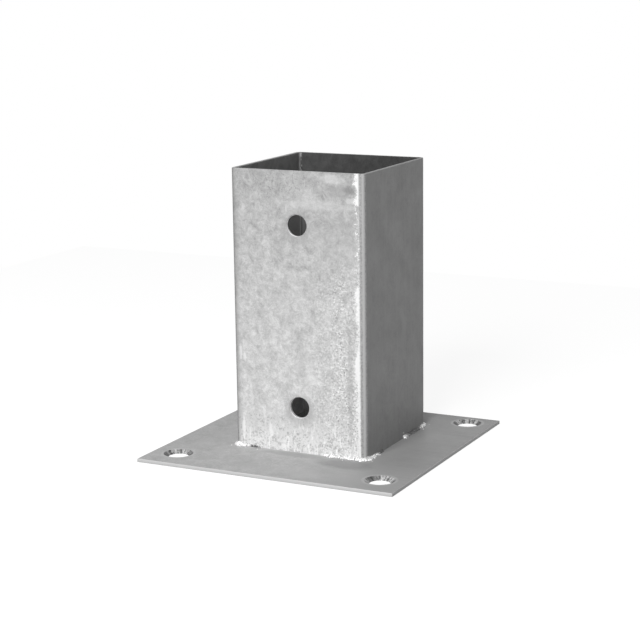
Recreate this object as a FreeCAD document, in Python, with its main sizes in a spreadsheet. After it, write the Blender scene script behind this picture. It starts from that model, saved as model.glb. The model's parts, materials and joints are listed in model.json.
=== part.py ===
import FreeCAD, Part
import math
import os
import Sketcher

# Bolt-down base for a square timber post, hot-dip galvanised steel.
# A sleeve folded from sheet stands on a thin square base plate and is
# stitch-welded to it at its four corners.
#
# Frame: millimetres, +Z up, origin at the centre of the plate's underside.
# +X runs along the front wall of the sleeve, +Y from the front wall to the back.

DIMENSIONS = [
    # alias, value in millimetres, meaning
    ("plateSide", 150.0, "side of the square base plate"),
    ("plateThick", 2.0, "thickness of the base plate"),
    ("plateEdge", 0.3, "rounding that the zinc leaves on the sheared edges"),
    ("anchorDia", 11.0, "anchor hole, at the plate's underside"),
    ("sinkDia", 16.0, "countersink of an anchor hole, at the plate's upper face"),
    ("sinkDepth", 1.8, "depth of that countersink"),
    ("anchorPitch", 120.0, "distance between anchor holes, both ways"),
    ("anchorShift", 3.0, "anchor pattern towards the back"),
    ("sleeveSide", 79.0, "outside width of the sleeve"),
    ("sleeveTall", 153.0, "height of the sleeve above the plate"),
    ("sleeveShift", 10.0, "sleeve towards the back of the plate"),
    ("sheetThick", 2.0, "sheet that the sleeve is folded from"),
    ("bendRadius", 3.0, "outside radius of the four bends"),
    ("rimEdge", 0.3, "rounding of the sleeve's cut rim"),
    ("boltDia", 11.5, "hole for the bolt through the post"),
    ("boltLow", 25.0, "lower bolt hole above the plate"),
    ("boltPitch", 99.0, "distance between the two bolt holes"),
    ("boltRoll", 0.4, "edge rolled in by the punch, on the outer side"),
    ("weldRadius", 3.1, "mean radius of a weld bead's ripples"),
    ("weldSink", 0.8, "depth of the ripples' centres behind the faces of plate and sleeve"),
    ("weldStep", 1.7, "distance from one ripple of a bead to the next"),
    ("weldTaper", 0.35, "how much a ripple narrows towards the one before"),
]

# Each stitch weld: its corner as the signs of X and Y, and how far in millimetres the bead
# runs from the bend along the front or back wall, and along the side wall.
BEADS = {
    "weld_front_left": ((-1, -1), 13.0, 0.0),
    "weld_front_right": ((1, -1), 21.0, 17.0),
    "weld_back_right": ((1, 1), 0.0, 27.0),
    "weld_back_left": ((-1, 1), 13.0, 0.0),
}
RIPPLE_SWELL = 0.12      # a ripple's radius differs from the mean by up to this share
RIPPLE_TURN = 2.1        # radians from one ripple to the next in that variation
RIPPLE_REACH = 1.2       # length of a ripple, in steps, so that each overlaps the next
FULL_CUT = 0.99          # share of its volume that a hole must at least have taken away
UPRIGHT = FreeCAD.Vector(0, 0, 1)

doc = FreeCAD.newDocument("post_base")


def make_sheet(rows):
    """Put the driving dimensions in a spreadsheet and return them as a dict as well."""
    sheet = doc.addObject("Spreadsheet::Sheet", "Dims")
    for number, (alias, value, meaning) in enumerate(rows, start=1):
        sheet.set(f"A{number}", meaning)
        sheet.set(f"B{number}", str(value))
        sheet.setAlias(f"B{number}", alias)
    doc.recompute()
    return {alias: float(sheet.get(alias)) for alias, _, _ in rows}


def origin_plane(body, role):
    """The body's own origin plane with this role, such as XY_Plane."""
    return next(item for item in body.Origin.OriginFeatures if item.Role == role)


def new_sketch(body, name, role="XY_Plane"):
    sketch = body.newObject("Sketcher::SketchObject", name)
    sketch.AttachmentSupport = [(origin_plane(body, role), "")]
    sketch.MapMode = "FlatFace"
    return sketch


def constrain(sketch, name, expression, *geometry):
    """Add a dimension to a sketch and drive it from the sheet."""
    index = sketch.addConstraint(Sketcher.Constraint(*geometry))
    sketch.renameConstraint(index, name)
    sketch.setExpression(f"Constraints.{name}", expression)


def add_square(sketch, side, side_expression):
    """A square centred on the sketch's origin."""
    half = side / 2
    corners = [FreeCAD.Vector(x, y, 0) for x, y in
               ((-half, -half), (half, -half), (half, half), (-half, half))]
    first = sketch.GeometryCount
    for index in range(4):
        sketch.addGeometry(Part.LineSegment(corners[index], corners[(index + 1) % 4]))
    for index in range(4):
        line = first + index
        after = first + (index + 1) % 4
        sketch.addConstraint(Sketcher.Constraint("Coincident", line, 2, after, 1))
        direction = "Horizontal" if index % 2 == 0 else "Vertical"
        sketch.addConstraint(Sketcher.Constraint(direction, line))
    sketch.addConstraint(Sketcher.Constraint("Equal", first, first + 1))
    sketch.addConstraint(Sketcher.Constraint("Symmetric", first, 1, first + 2, 1, -1, 1))
    constrain(sketch, "side", side_expression, "DistanceX", first, 1, first, 2, side)


def add_rounded_square(sketch, name, side, radius, side_expression, radius_expression):
    """A square with round corners, centred on the sketch's origin: four walls and four bends."""
    half = side / 2
    inner = half - radius
    first = sketch.GeometryCount
    for quarter in range(4):
        turn = FreeCAD.Rotation(UPRIGHT, 90 * quarter)
        start = turn.multVec(FreeCAD.Vector(-inner, -half, 0))
        end = turn.multVec(FreeCAD.Vector(inner, -half, 0))
        centre = turn.multVec(FreeCAD.Vector(inner, -inner, 0))
        bend = Part.Circle(centre, UPRIGHT, radius)
        opening = math.radians(90 * (quarter - 1))
        sketch.addGeometry(Part.LineSegment(start, end))
        sketch.addGeometry(Part.ArcOfCircle(bend, opening, opening + math.pi / 2))
    for quarter in range(4):
        wall = first + 2 * quarter
        bend = wall + 1
        next_wall = first + (2 * quarter + 2) % 8
        sketch.addConstraint(Sketcher.Constraint("Tangent", wall, 2, bend, 1))
        sketch.addConstraint(Sketcher.Constraint("Tangent", bend, 2, next_wall, 1))
    for quarter in range(3):
        bend = first + 1 + 2 * quarter
        sketch.addConstraint(Sketcher.Constraint("Equal", bend, bend + 2))
    sketch.addConstraint(Sketcher.Constraint("Horizontal", first))
    sketch.addConstraint(Sketcher.Constraint("Equal", first, first + 2))
    sketch.addConstraint(Sketcher.Constraint("Symmetric", first + 1, 3, first + 5, 3, -1, 1))
    constrain(sketch, f"{name}Radius", radius_expression, "Radius", first + 1, radius)
    constrain(sketch, f"{name}Side", side_expression,
              "DistanceX", first + 6, 1, first + 2, 1, side)


def add_pad(body, name, sketch, length_expression):
    pad = body.newObject("PartDesign::Pad", name)
    pad.Profile = sketch
    pad.setExpression("Length", length_expression)
    doc.recompute()
    return pad


def edges_where(feature, test):
    """Names of the feature's edges that pass a test, such as Edge4."""
    return [f"Edge{number}" for number, edge in enumerate(feature.Shape.Edges, start=1)
            if test(edge)]


def is_circle(edge, radius):
    return isinstance(edge.Curve, Part.Circle) and abs(edge.Curve.Radius - radius) < 1e-4


def add_fillet(body, name, base, edges, radius_expression):
    fillet = body.newObject("PartDesign::Fillet", name)
    fillet.Base = (base, edges)
    fillet.setExpression("Radius", radius_expression)
    doc.recompute()
    return fillet


def add_chamfer(body, name, base, edges, size_expression, depth_expression=None):
    """Bevel edges. With a depth of its own, the size is across and the depth is down."""
    chamfer = body.newObject("PartDesign::Chamfer", name)
    chamfer.Base = (base, edges)
    chamfer.setExpression("Size", size_expression)
    if depth_expression:
        chamfer.ChamferType = "Two distances"
        chamfer.setExpression("Size2", depth_expression)
    doc.recompute()
    return chamfer


def check_cut(before, after, expected):
    """Stop the build when a cut has taken away less than the volume expected."""
    taken = before.Shape.Volume - after.Shape.Volume
    if taken < FULL_CUT * expected:
        raise RuntimeError(f"{after.Name} takes away {taken:.1f} mm3, expected {expected:.1f}")


def make_base_plate(size):
    """Square plate, sheared to size, with four countersunk anchor holes."""
    body = doc.addObject("PartDesign::Body", "BasePlate")
    body.Label = "base_plate"

    outline = new_sketch(body, "PlateOutline")
    add_square(outline, size["plateSide"], "Dims.plateSide")
    blank = add_pad(body, "PlateBlank", outline, "Dims.plateThick")

    top = size["plateThick"]
    half = size["plateSide"] / 2
    sheared = edges_where(blank, lambda edge: edge.BoundBox.ZLength < 1e-6)
    eased = add_fillet(body, "PlateEdges", blank, sheared, "Dims.plateEdge")

    punch = new_sketch(body, "AnchorPunch")
    reach = size["anchorPitch"] / 2
    radius = size["anchorDia"] / 2
    centre = FreeCAD.Vector(-reach, size["anchorShift"] - reach, 0)
    hole = punch.addGeometry(Part.Circle(centre, UPRIGHT, radius))
    constrain(punch, "across", "Dims.anchorDia", "Diameter", hole, size["anchorDia"])
    constrain(punch, "fromCentreX", "Dims.anchorPitch / 2", "DistanceX", hole, 3, -1, 1, reach)
    constrain(punch, "fromCentreY", "Dims.anchorPitch / 2 - Dims.anchorShift",
              "DistanceY", hole, 3, -1, 1, reach - size["anchorShift"])
    first_hole = body.newObject("PartDesign::Pocket", "AnchorHole")
    first_hole.Profile = punch
    first_hole.Type = "ThroughAll"
    first_hole.Reversed = True
    doc.recompute()
    one_hole = math.pi * radius ** 2 * top
    check_cut(eased, first_hole, one_hole)

    pattern = body.newObject("PartDesign::MultiTransform", "AnchorPattern")
    pattern.Originals = [first_hole]
    steps = []
    for axis in ("H_Axis", "V_Axis"):
        step = body.newObject("PartDesign::LinearPattern", f"AnchorStep{axis[0]}")
        step.Direction = (punch, [axis])
        step.Occurrences = 2
        step.setExpression("Length", "Dims.anchorPitch")
        steps.append(step)
    pattern.Transformations = steps
    body.Tip = pattern
    doc.recompute()
    check_cut(eased, pattern, 4 * one_hole)

    rims = edges_where(pattern, lambda edge: is_circle(edge, radius)
                       and abs(edge.BoundBox.ZMin - top) < 1e-6)
    sinks = add_chamfer(body, "AnchorSinks", pattern, rims,
                        "(Dims.sinkDia - Dims.anchorDia) / 2", "Dims.sinkDepth")
    mouth = size["sinkDia"] / 2
    one_sink = math.pi * size["sinkDepth"] * (mouth ** 2 + mouth * radius - 2 * radius ** 2) / 3
    check_cut(pattern, sinks, 4 * one_sink)
    return body


def make_post_sleeve(size):
    """Sleeve folded from one sheet, open at the top, with two bolt holes front and back."""
    body = doc.addObject("PartDesign::Body", "PostSleeve")
    body.Label = "post_sleeve"
    body.setExpression("Placement.Base.y", "Dims.sleeveShift")
    body.setExpression("Placement.Base.z", "Dims.plateThick")

    section = new_sketch(body, "SleeveSection")
    sheet = size["sheetThick"]
    add_rounded_square(section, "outer", size["sleeveSide"], size["bendRadius"],
                       "Dims.sleeveSide", "Dims.bendRadius")
    add_rounded_square(section, "inner", size["sleeveSide"] - 2 * sheet, size["bendRadius"] - sheet,
                       "Dims.sleeveSide - 2 * Dims.sheetThick", "Dims.bendRadius - Dims.sheetThick")
    folded = add_pad(body, "FoldedSleeve", section, "Dims.sleeveTall")

    rim_height = size["sleeveTall"]
    rim = edges_where(folded, lambda edge: edge.BoundBox.ZMin > rim_height - 1e-6)
    eased = add_chamfer(body, "SleeveRim", folded, rim, "Dims.rimEdge")

    punch = new_sketch(body, "BoltPunch", "XZ_Plane")
    radius = size["boltDia"] / 2
    heights = {
        "low": (size["boltLow"], "Dims.boltLow"),
        "high": (size["boltLow"] + size["boltPitch"], "Dims.boltLow + Dims.boltPitch"),
    }
    for name, (height, expression) in heights.items():
        hole = punch.addGeometry(Part.Circle(FreeCAD.Vector(0, height, 0), UPRIGHT, radius))
        punch.addConstraint(Sketcher.Constraint("PointOnObject", hole, 3, -2))
        constrain(punch, f"{name}Across", "Dims.boltDia", "Diameter", hole, 2 * radius)
        constrain(punch, f"{name}Height", expression, "DistanceY", -1, 1, hole, 3, height)
    holes = body.newObject("PartDesign::Pocket", "BoltHoles")
    holes.Profile = punch
    holes.Type = "ThroughAll"
    holes.Midplane = True
    doc.recompute()
    check_cut(eased, holes, 4 * math.pi * radius ** 2 * sheet)

    outside = size["sleeveSide"] / 2
    rims = edges_where(holes, lambda edge: is_circle(edge, radius)
                       and abs(abs(edge.BoundBox.YMin) - outside) < 1e-6)
    add_chamfer(body, "BoltRims", holes, rims, "Dims.boltRoll")
    return body


def make_plate_seat():
    """The space below the plate's upper face, which the beads lie on."""
    ground = doc.addObject("Part::Box", "SeatUnderFace")
    for length in ("Length", "Width"):
        ground.setExpression(length, "Dims.plateSide")
    ground.setExpression("Height", "3 * Dims.plateThick")
    ground.setExpression("Placement.Base.x", "-Dims.plateSide / 2")
    ground.setExpression("Placement.Base.y", "-Dims.plateSide / 2")
    ground.setExpression("Placement.Base.z", "-2 * Dims.plateThick")
    return ground


def make_sleeve_seat(size):
    """The sleeve's outer form as a solid, as high as the beads need it."""
    footprint = doc.addObject("Sketcher::SketchObject", "SleeveFootprint")
    add_rounded_square(footprint, "outer", size["sleeveSide"], size["bendRadius"],
                       "Dims.sleeveSide", "Dims.bendRadius")
    footprint.setExpression("Placement.Base.y", "Dims.sleeveShift")
    core = doc.addObject("Part::Extrusion", "SeatInSleeve")
    core.Base = footprint
    core.Dir = UPRIGHT
    core.Solid = True
    core.setExpression("LengthFwd", "Dims.plateThick + 2 * Dims.weldRadius")
    return core


def bead_place(distance, size):
    """Where a ripple starts and the way it faces, measured from the centre of the bend.

    The distance counts along the bead, from where the front or back wall meets the bend,
    and the place is the one at the corner at +X +Y.
    """
    radius = size["bendRadius"] - size["weldSink"]
    angle = min(max(distance / radius, 0), math.pi / 2)
    beyond = distance - angle * radius
    along = FreeCAD.Vector(math.cos(angle), -math.sin(angle), 0)
    outward = FreeCAD.Vector(math.sin(angle), math.cos(angle), 0)
    return outward * radius + along * beyond, along


def make_weld(name, corner, wall_run, side_run, seats, size):
    """A stitch weld at one corner: overlapping ripples, cut to lie on plate and sleeve.

    The ripples are cones, and spheres where the bead begins, turns the bend and ends.
    """
    mirror = FreeCAD.Matrix()
    mirror.A11, mirror.A22 = corner
    bend_length = (size["bendRadius"] - size["weldSink"]) * math.pi / 2
    start = -wall_run if wall_run else bend_length / 2
    end = bend_length + side_run if side_run else bend_length / 2
    count = round((end - start) / size["weldStep"])
    ripples = []
    for index in range(count + 1):
        swell = 1 + RIPPLE_SWELL * math.sin(RIPPLE_TURN * index)
        distance = start + (end - start) * index / count
        point, along = bead_place(distance, size)
        place = mirror.multVec(point)
        on_bend = -size["weldStep"] / 2 < distance < bend_length
        if 0 < index < count and not on_bend:
            ripple = doc.addObject("Part::Cone", f"{name}_ripple_{index}")
            ripple.setExpression("Radius1", f"Dims.weldRadius * {swell:.3f} - Dims.weldTaper")
            ripple.setExpression("Radius2", f"Dims.weldRadius * {swell:.3f}")
            ripple.setExpression("Height", f"{RIPPLE_REACH} * Dims.weldStep")
            facing = FreeCAD.Rotation(UPRIGHT, mirror.multVec(along))
            ripple.Placement = FreeCAD.Placement(place, facing)
        else:
            ripple = doc.addObject("Part::Sphere", f"{name}_drop_{index}")
            ripple.setExpression("Radius", "Dims.weldRadius")
            ripple.Placement.Base = place
        ripples.append(ripple)
    bead = doc.addObject("Part::MultiFuse", f"{name}_ripples")
    bead.Shapes = ripples
    sign_x, sign_y = corner
    bead.setExpression("Placement.Base.x", f"{sign_x} * (Dims.sleeveSide / 2 - Dims.bendRadius)")
    bead.setExpression("Placement.Base.y", f"{sign_y} * (Dims.sleeveSide / 2 - Dims.bendRadius)"
                       " + Dims.sleeveShift")
    bead.setExpression("Placement.Base.z", "Dims.plateThick - Dims.weldSink")
    weld = doc.addObject("Part::Cut", name)
    weld.Label = name
    weld.Base = bead
    weld.Tool = seats
    return weld


def make_welds(size):
    """The four stitch welds."""
    seats = doc.addObject("Part::MultiFuse", "WeldSeats")
    seats.Shapes = [make_plate_seat(), make_sleeve_seat(size)]
    return [make_weld(name, corner, wall_run, side_run, seats, size)
            for name, (corner, wall_run, side_run) in BEADS.items()]


def main():
    size = make_sheet(DIMENSIONS)
    parts = [make_base_plate(size), make_post_sleeve(size), *make_welds(size)]
    doc.recompute()
    for item in doc.Objects:
        if "Invalid" in item.State or "Error" in item.State:
            raise RuntimeError(f"{item.Name} failed: {item.State}")
    os.makedirs("parts", exist_ok=True)
    for part in parts:
        shape = part.Shape
        if shape.isNull() or not shape.isValid():
            raise RuntimeError(f"{part.Label} has no valid shape")
        shape.exportStep(f"parts/{part.Label}.step")
        print(part.Label, round(shape.Volume, 1), shape.BoundBox)


main()
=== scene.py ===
import json
import math
from collections import namedtuple

import bpy
from mathutils import Matrix, Vector


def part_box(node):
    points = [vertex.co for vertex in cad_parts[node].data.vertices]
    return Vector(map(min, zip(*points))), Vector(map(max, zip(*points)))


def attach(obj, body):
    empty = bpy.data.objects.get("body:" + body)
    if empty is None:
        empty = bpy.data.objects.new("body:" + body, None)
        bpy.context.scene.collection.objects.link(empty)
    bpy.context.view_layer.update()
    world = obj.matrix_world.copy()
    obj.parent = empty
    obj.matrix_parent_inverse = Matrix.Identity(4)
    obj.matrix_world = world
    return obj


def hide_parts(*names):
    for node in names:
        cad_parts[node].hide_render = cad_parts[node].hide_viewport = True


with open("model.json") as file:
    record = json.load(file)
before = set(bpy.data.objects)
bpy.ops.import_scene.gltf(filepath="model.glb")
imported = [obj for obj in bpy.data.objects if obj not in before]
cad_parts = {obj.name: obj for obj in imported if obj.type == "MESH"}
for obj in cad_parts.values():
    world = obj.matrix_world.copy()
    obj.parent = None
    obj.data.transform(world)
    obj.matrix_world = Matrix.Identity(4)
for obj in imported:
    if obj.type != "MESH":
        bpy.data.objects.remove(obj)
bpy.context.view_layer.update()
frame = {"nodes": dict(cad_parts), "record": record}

# The patterns, the welds and the marks are worked out in millimetres; the scene is in metres.
MM = 0.001

# View of the object: where the camera looks, from where, and with which lens in millimetres
LOOK_AT = Vector((-0.7, -2.1, 69.9)) * MM
VIEW_AZIMUTH = math.radians(26.73)
VIEW_ELEVATION = math.radians(12.04)
VIEW_ROLL = math.radians(-0.77)
VIEW_DISTANCE = 953.1 * MM
LENS = 98.1
SENSOR = 36

# Light: a soft lamp in front, a dim room, and a pale floor that looks white. Sizes and
# distances in metres, power in watts.
KEY_AZIMUTH = math.radians(3)
KEY_ELEVATION = math.radians(31)
KEY_DISTANCE = 1.5
KEY_SIZE = 0.7
KEY_POWER = 25.0
ROOM_GLOW = 0.16
FLOOR_SIDE = 1.0
FLOOR_GAP = 0.05 * MM
FLOOR_GREY = 0.50
FLOOR_GLOW = 0.90
FLOOR_SHADE = 0.20

# The object's own measures in millimetres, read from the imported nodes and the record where
# these state them
SLEEVE_LOW, SLEEVE_HIGH = (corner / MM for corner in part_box("post_sleeve"))
PLATE_LOW, PLATE_HIGH = (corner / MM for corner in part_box("base_plate"))
SLEEVE_HALF = (SLEEVE_HIGH.x - SLEEVE_LOW.x) / 2
SLEEVE_MIDDLE = (SLEEVE_HIGH.y + SLEEVE_LOW.y) / 2
FRONT = SLEEVE_LOW.y
RIM = SLEEVE_HIGH.z
FLOOR_OF_SLEEVE = PLATE_HIGH.z
SHEET = 2.0
BEND = 3.0
INNER_HALF = SLEEVE_HALF - SHEET
BEND_START = SLEEVE_HALF - BEND
MOUNTS = {mount["name"]: mount for mount in frame["record"]["mounts"]}
ANCHORS = MOUNTS["base_anchors"]
ANCHOR_REACH = ANCHORS["dims"]["spacing_x_mm"] / 2
ANCHOR_MIDDLE = ANCHORS["pos_m"][1] / MM
SINK_RADIUS = 8.0
BOLT_RADIUS = MOUNTS["post_bolt_low"]["dims"]["r_mm"]

# From where to where the wall of a bolt hole and that of an anchor hole begin, and the speckled
# rim round an anchor hole: middle, half width and fade
BORE_EDGE = (BOLT_RADIUS + 0.15, BOLT_RADIUS + 0.05)
SINK_EDGE = (SINK_RADIUS + 0.2, SINK_RADIUS - 0.2)
SINK_RIM = (SINK_RADIUS + 0.7, 0.5, 0.7)

# Marks on the front wall: middle and reach across and up the wall, grey level, strength,
# and how ragged the edge is
FRONT_MARKS = [
    # Shade beside the upper bolt hole
    ((22.0, 121.0), (17.0, 17.0), 0.34, 0.30, 0.5),
    ((-10.0, 115.0), (4.0, 4.5), 0.36, 0.22, 0.4),
    # Pale cloud and dusky smears under the rim
    ((2.0, 143.5), (12.5, 7.5), 0.66, 0.14, 0.6),
    ((-10.5, 148.0), (2.3, 8.0), 0.27, 0.46, 0.5),
    ((-23.5, 146.5), (3.6, 2.6), 0.29, 0.34, 0.8),
    ((-21.0, 152.5), (2.4, 3.2), 0.27, 0.38, 0.9),
    ((-16.3, 147.6), (2.6, 2.2), 0.72, 0.20, 0.9),
    ((2.0, 151.0), (3.0, 6.0), 0.34, 0.26, 0.7),
    # Dark patch at the upper right, with pale zinc above and below it
    ((12.0, 137.5), (26.0, 3.4), 0.60, 0.30, 0.5),
    ((21.0, 151.5), (8.5, 3.0), 0.62, 0.40, 0.6),
    ((25.0, 145.2), (9.5, 4.4), 0.27, 0.55, 0.5),
    ((31.0, 146.2), (4.2, 2.8), 0.20, 0.60, 0.4),
    ((31.5, 140.2), (4.5, 2.2), 0.62, 0.40, 0.9),
    ((26.0, 131.5), (2.6, 3.0), 0.32, 0.30, 0.4),
    # Spot and dusky drift beside the right bend
    ((28.0, 89.0), (3.0, 4.0), 0.30, 0.45, 0.6),
    ((30.6, 40.0), (2.2, 42.0), 0.28, 0.34, 0.9),
    # Ovals and a streak above the lower bolt hole
    ((-0.5, 49.5), (4.2, 3.4), 0.42, 0.34, 0.5),
    ((9.0, 43.0), (4.6, 3.6), 0.76, 0.34, 0.9),
    ((17.5, 58.0), (2.2, 9.0), 0.40, 0.34, 0.7),
    # Pale runs beside the left bend, and crusts at the foot
    ((-35.4, 55.0), (1.3, 5.0), 0.78, 0.60, 0.7),
    ((-32.8, 52.5), (1.2, 3.2), 0.74, 0.50, 0.7),
    ((-34.2, 12.0), (1.1, 8.0), 0.84, 0.65, 0.8),
    ((-27.5, 14.0), (2.4, 5.0), 0.42, 0.30, 0.7),
    ((-9.5, 6.0), (1.6, 3.6), 0.84, 0.50, 0.8),
    ((31.0, 5.0), (4.0, 4.0), 0.84, 0.30, 0.9),
]
# Their reach along Y, by which they follow the wall round its bends
MARK_DEPTH = 6.0

# Where the front wall's zinc changes, across it or up it: from where a change starts to where
# it is full. The curtain's torn edge hangs down so far, and the scratches have a middle and a
# reach.
PEPPER_ACROSS = (2.0, 26.0)
PEPPER_DOWN = (112.0, 92.0)
PEPPER_STRONGER = (80.0, 30.0)
CURTAIN_DOWN = (33.0, 22.0)
CURTAIN_HANG = 26.0
DRAINED_DOWN = (26.0, 10.0)
SCRATCHES = ((-9.0, FRONT, 148.0), (24.0, MARK_DEPTH, 9.0))

# The grey halo round a bolt hole: how far its middle lies below the hole's, and where it fades
HALO_DROP = 1.5
HALO_FADE = (11.0, 6.5)

# The bright strip beside the right bend: its torn left edge, its width, how far the tears
# reach and how soft they are, its clean right edge, the stretch of wall where only dots are
# left of it, and where these lie across the wall (middle, half width and fade)
STRIP_LEFT = 33.9
STRIP_WIDTH = 3.0
STRIP_TEAR = 14.0
STRIP_SOFT = (-0.6, 0.6)
STRIP_RIGHT = (36.7, 35.7)
STRIP_GONE = (117.0, 20.0, 3.0)
STRIP_DOTS = (35.0, 1.2, 0.8)
# Other stretches of it, and how far its left edge moves to the right there
STRIP_SHIFTS = [
    ((68.0, 7.0, 6.0), 1.2),
    ((145.5, 1.6, 2.6), 1.3),
    ((54.0, 3.0, 3.0), -0.8),
    ((20.0, 20.0, 5.0), 0.8),
]

# How far in from an outer face a wall's colour gives way round the bend, and how far in from
# the left face the front wall is painted darker as shade, at first a little and then more
FRONT_FADE = (2.9, 1.6)
SIDE_FADE = (2.6, 0.8)
LEFT_SHADE_FADE = (5.7, 0.8)
LEFT_EDGE_SHADE = (2.1, 0.2)

# From where to where the front wall's zinc gives way to the right bend's, painted darker as
# shade, and the painted light along that bend: middle, half width and fade, in degrees round it
BEND_EDGE = (-0.3, 0.3)
BEND_PAINTED_LIGHT = (42.0, 6.0, 16.0)

# Inside the sleeve: how far from its middle the zinc painted dark as shade reaches and its fade,
# how near the left wall that wall's paler zinc, painted light, begins, and the bands of speckled
# zinc and of painted corner shade beside that wall (middle, half width and fade)
INSIDE_REACH = (INNER_HALF + 0.3, 0.6)
LEFT_WALL = (1.0, 0.2)
LEFT_SEAM = (1.0, 0.3, 0.7)
LEFT_CORNER_SHADE = (0.8, 0.3, 0.4)

# Down inside the sleeve: from which height to which the seam, the painted shade and the painted
# light change
SEAM_UP = (134.0, 142.0)
DEEPER_DOWN = (137.0, 118.0)
DEPTHS_DOWN = (112.0, 15.0)
CORNER_SHADE_UP = (60.0, 100.0)

# Patches on the plate: middle and reach across and along it, grey level and strength
PLATE_MARKS = [
    ((32.0, -39.0), (20.0, 11.0), 0.22, 0.60),
    ((0.0, -34.0), (24.0, 5.0), 0.27, 0.50),
    ((12.0, -62.0), (26.0, 9.0), 0.50, 0.35),
    ((-52.0, -20.0), (14.0, 30.0), 0.50, 0.30),
    ((-20.0, -58.0), (12.0, 10.0), 0.38, 0.30),
]
PATCH_DEPTH = 3.0

# Dark weld stretches, dull zinc and, on the right wall, partly painted shade: middle and reach
DULL_AND_SHADED_WELDS = [
    ((-27.8, -30.5, 3.0), (3.8, 3.0, 3.0)),
    ((40.5, 31.5, 3.0), (4.0, 13.0, 4.0)),
    ((41.0, -11.0, 3.0), (3.0, 6.0, 4.0)),
]

# Where the plate changes, across it and along it: painted shade to the right and further back,
# and dapples to the left
DARKER_RIGHT = (0.0, 62.0)
DARKER_BACK = (-60.0, -15.0)
DAPPLED_LEFT = (50.0, 10.0)

# The plate's sheared edges: how far in they reach, and where they brighten up the edge
EDGE_FADE = (0.35, 0.1)
SHEARED_UP = (0.4, 1.4)

# The sheet's fine lines run along X: how much each direction is squeezed to draw them
LINE_SQUEEZE = (0.02, 1.6, 1.0)

# Direction across an anchor hole in which its wall is painted darkest as shade: sideways to the
# camera
SIDEWAYS_SHADE = (0.893, 0.449, 0.0)


# ---------------------------------------------------------------- camera and light


def direction(azimuth, elevation):
    """Unit vector that points from the object to a place at this azimuth and elevation."""
    return Vector((math.sin(azimuth) * math.cos(elevation),
                   -math.cos(azimuth) * math.cos(elevation),
                   math.sin(elevation)))


def make_camera():
    """A long lens, a little above the base and turned towards its front right corner."""
    back = direction(VIEW_AZIMUTH, VIEW_ELEVATION)
    right = Vector((math.cos(VIEW_AZIMUTH), math.sin(VIEW_AZIMUTH), 0))
    up = back.cross(right)
    level = Matrix.Rotation(-VIEW_ROLL, 3, -back)
    axes = Matrix((level @ right, level @ up, back)).transposed()
    camera = bpy.data.objects.new("camera", bpy.data.cameras.new("camera"))
    camera.data.lens = LENS
    camera.data.sensor_width = SENSOR
    camera.matrix_world = Matrix.Translation(LOOK_AT + back * VIEW_DISTANCE) @ axes.to_4x4()
    bpy.context.collection.objects.link(camera)
    bpy.context.scene.camera = camera


def make_key_light():
    """One large soft lamp, above and in front of the base."""
    lamp = bpy.data.lights.new("key_light", "AREA")
    lamp.shape = "SQUARE"
    lamp.size = KEY_SIZE
    lamp.energy = KEY_POWER
    light = bpy.data.objects.new("key_light", lamp)
    towards = direction(KEY_AZIMUTH, KEY_ELEVATION)
    light.location = LOOK_AT + towards * KEY_DISTANCE
    light.rotation_euler = towards.to_track_quat("Z", "Y").to_euler()
    bpy.context.collection.objects.link(light)


# ---------------------------------------------------------------- node building


def feed(tree, socket, value):
    """Link a socket to another one, or set it to a plain value."""
    if isinstance(value, bpy.types.NodeSocket):
        tree.links.new(value, socket)
    else:
        socket.default_value = value


def add_node(tree, kind, values=None, **settings):
    """Add a node, set it up and feed its inputs."""
    node = tree.nodes.new(kind)
    for name, setting in settings.items():
        setattr(node, name, setting)
    for name, value in (values or {}).items():
        feed(tree, node.inputs[name], value)
    return node


def add_math(tree, operation, first, second=0.0):
    """One step of arithmetic."""
    return add_node(tree, "ShaderNodeMath", {0: first, 1: second},
                    operation=operation).outputs[0]


def add_vector(tree, operation, first, second=None, scale=None):
    """One step of arithmetic on vectors."""
    values = {0: first, 1: second, "Scale": scale}
    values = {name: value for name, value in values.items() if value is not None}
    return add_node(tree, "ShaderNodeVectorMath", values, operation=operation).outputs


def add_range(tree, value, low, high, to_low=0.0, to_high=1.0, smooth=False):
    """Stretch a value between low and high onto another range, and hold it at both ends."""
    kind = "SMOOTHSTEP" if smooth else "LINEAR"
    return add_node(tree, "ShaderNodeMapRange",
                    {"Value": value, "From Min": low, "From Max": high,
                     "To Min": to_low, "To Max": to_high},
                    interpolation_type=kind).outputs["Result"]


def add_layer(tree, below, above, mask):
    """One colour over another, as far as the mask covers it."""
    return add_node(tree, "ShaderNodeMix", {0: mask, 6: below, 7: above},
                    data_type="RGBA").outputs[2]


def grey(level):
    """A neutral colour, as the zinc has."""
    return (level, level, level, 1.0)


def new_group(name, kind, inputs, outputs):
    """A node group with named inputs and outputs, and the sockets of its two end nodes."""
    group = bpy.data.node_groups.new(name, kind)
    for label, socket_type, value in inputs:
        socket = group.interface.new_socket(label, in_out="INPUT", socket_type=socket_type)
        if value is not None:
            socket.default_value = value
    for label, socket_type in outputs:
        group.interface.new_socket(label, in_out="OUTPUT", socket_type=socket_type)
    start = group.nodes.new("NodeGroupInput")
    end = group.nodes.new("NodeGroupOutput")
    return group, start.outputs, end.inputs


def use_group(tree, group, values):
    """Place a node group with its own values."""
    return add_node(tree, "ShaderNodeGroup", values, node_tree=group).outputs


def add_noise(tree, place, scale, detail=2.0, roughness=0.5, distortion=0.0):
    """Noise from 0 to 1, mostly near a half."""
    return add_node(tree, "ShaderNodeTexNoise",
                    {"Vector": place, "Scale": scale, "Detail": detail,
                     "Roughness": roughness, "Distortion": distortion}).outputs["Fac"]


# ---------------------------------------------------------------- effects of the zinc

VECTOR, FLOAT = "NodeSocketVector", "NodeSocketFloat"


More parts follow.
